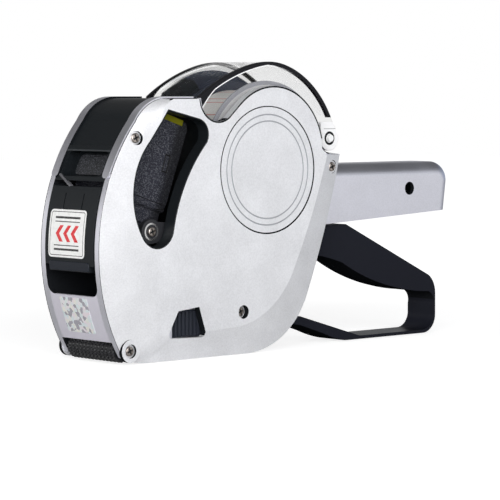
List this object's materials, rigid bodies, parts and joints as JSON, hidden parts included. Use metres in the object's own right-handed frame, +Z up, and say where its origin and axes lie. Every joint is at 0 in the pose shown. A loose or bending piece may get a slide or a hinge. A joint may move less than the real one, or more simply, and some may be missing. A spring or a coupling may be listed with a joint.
{
  "type": "price labeler",
  "caption": "Price labeler: a silver pistol-grip case with a squeeze lever, a swinging print head behind side windows, a hinged clear cover over a label roll, and an applicator roller.",
  "frame": {"origin": "middle of the tool's width and of its length, at the flat base that it stands on", "axes": "+X from the nose to the end of the handle, +Z up from the base, +Y to the right side, where the selector knob is; the camera's side is -Y"},
  "size_m": [0.218, 0.0448, 0.1258],
  "materials": {
    "housing_silver": "satin silver coat on moulded plastic",
    "panel_white": "satin white silver",
    "badge_white": "plain satin insert",
    "trim_black": "fine satin black",
    "lever_black": "satin blue black",
    "cover_clear": "clear moulded plastic",
    "head_black": "fine textured black",
    "marker_yellow": "satin olive yellow",
    "belt_rubber": "matte rubber",
    "ink_foam": "inked foam",
    "wheel_pale": "natural acetal",
    "knob_blue": "satin, with grip flutes",
    "steel": "plain pressed steel",
    "steel_pin": "ground steel",
    "screw_steel": "warm bright plating",
    "label_paper": "paper labels on a backing",
    "core_card": "pressed card",
    "holder_grey": "satin grey"
  },
  "bodies": {
    "body": {"left_housing": "housing_silver", "right_housing": "housing_silver", "left_side_panel": "panel_white", "right_side_panel": "panel_white", "left_badge": "badge_white", "right_badge": "badge_white", "left_window_liner": "trim_black", "right_window_liner": "trim_black", "case_screws": "screw_steel", "axle_screws": "screw_steel", "front_cover": "trim_black", "roll_guide": "trim_black", "cover_hinge_pins": "steel_pin", "left_roll_holder": "holder_grey", "right_roll_holder": "holder_grey", "applicator_axle": "steel_pin", "platen": "trim_black", "peel_plate": "steel", "feed_shaft": "steel_pin", "door_pins": "steel_pin", "pivot_shaft": "steel_pin", "return_spring": "steel", "label_strip": "label_paper"},
    "lever": {"hand_lever": "lever_black", "print_yoke": "steel", "drive_pin": "steel_pin", "head_casing": "head_black", "right_head_plate": "head_black", "left_head_plate": "head_black", "marker_strip": "marker_yellow", "type_bands": "belt_rubber", "band_wheels": "wheel_pale", "print_bar": "head_black", "head_screws": "screw_steel"},
    "selector": {"selector_shaft": "steel_pin"},
    "knob": {"selector_knob": "knob_blue"},
    "units": {"units_wheel": "wheel_pale"},
    "ink_flap": {"ink_cover": "trim_black", "ink_shaft": "steel_pin"},
    "ink_roll": {"ink_roller": "ink_foam"},
    "top_cover": {"roll_cover": "cover_clear"},
    "roll": {"label_roll": "label_paper", "label_core": "core_card"},
    "applicator": {"applicator_roller": "belt_rubber"},
    "feeder": {"feed_wheel": "wheel_pale"},
    "slide": {"feed_slide": "trim_black"},
    "latch": {"cover_latch": "trim_black"},
    "door": {"base_door": "trim_black"}
  },
  "joints": [
    {"name": "lever_squeeze", "type": "hinge", "parent": "body", "child": "lever", "pos_m": [0.013, 0, 0.047], "axis": [0, -1, 0], "range_deg": [0, 18], "stiffness_Nm_per_rad": 0.5, "springref_deg": -22.92, "deforming": ["return_spring"]},
    {"name": "ink_cover_swing", "type": "hinge", "parent": "body", "child": "ink_flap", "pos_m": [-0.1015, 0, 0.071], "axis": [0, 1, 0], "range_deg": [0, 36]},
    {"name": "ink_roller_turn", "type": "hinge", "parent": "ink_flap", "child": "ink_roll", "pos_m": [-0.096, 0, 0.0436], "axis": [0, 1, 0], "continuous": true},
    {"name": "feed_stroke", "type": "slide", "parent": "body", "child": "slide", "axis": [1, 0, 0], "range_m": [0, 0.00914]},
    {"name": "selector_pull", "type": "slide", "parent": "lever", "child": "selector", "axis": [0, 1, 0], "range_m": [0, 0.0182]},
    {"name": "knob_turn", "type": "hinge", "parent": "selector", "child": "knob", "pos_m": [-0.07559, 0, 0.08716], "axis": [0, 1, 0], "continuous": true},
    {"name": "units_wheel_turn", "type": "hinge", "parent": "lever", "child": "units", "pos_m": [-0.07559, 0, 0.08716], "axis": [0, 1, 0], "continuous": true},
    {"name": "roll_cover_hinge", "type": "hinge", "parent": "body", "child": "top_cover", "pos_m": [0.0239, 0, 0.0918], "axis": [0, 1, 0], "range_deg": [0, 105]},
    {"name": "label_roll_turn", "type": "hinge", "parent": "body", "child": "roll", "pos_m": [-0.0095, 0, 0.0815], "axis": [0, 1, 0], "continuous": true},
    {"name": "applicator_turn", "type": "hinge", "parent": "body", "child": "applicator", "pos_m": [-0.0932, 0, 0.0056], "axis": [0, 1, 0], "continuous": true},
    {"name": "feed_wheel_turn", "type": "hinge", "parent": "body", "child": "feeder", "pos_m": [-0.062, 0, 0.0145], "axis": [0, 1, 0], "continuous": true},
    {"name": "latch_slide", "type": "slide", "parent": "body", "child": "latch", "axis": [1, 0, 0], "range_m": [0, 0.003]},
    {"name": "base_door_hinge", "type": "hinge", "parent": "body", "child": "door", "pos_m": [-0.031, 0, 0.0019], "axis": [0, -1, 0], "range_deg": [0, 60]}
  ],
  "couplings": [
    {"joint": "ink_cover_swing", "follows": "lever_squeeze", "ratio": 2},
    {"joint": "feed_stroke", "follows": "lever_squeeze", "m_per_rad": 0.02906},
    {"joint": "units_wheel_turn", "follows": "knob_turn", "ratio": 1}
  ]
}
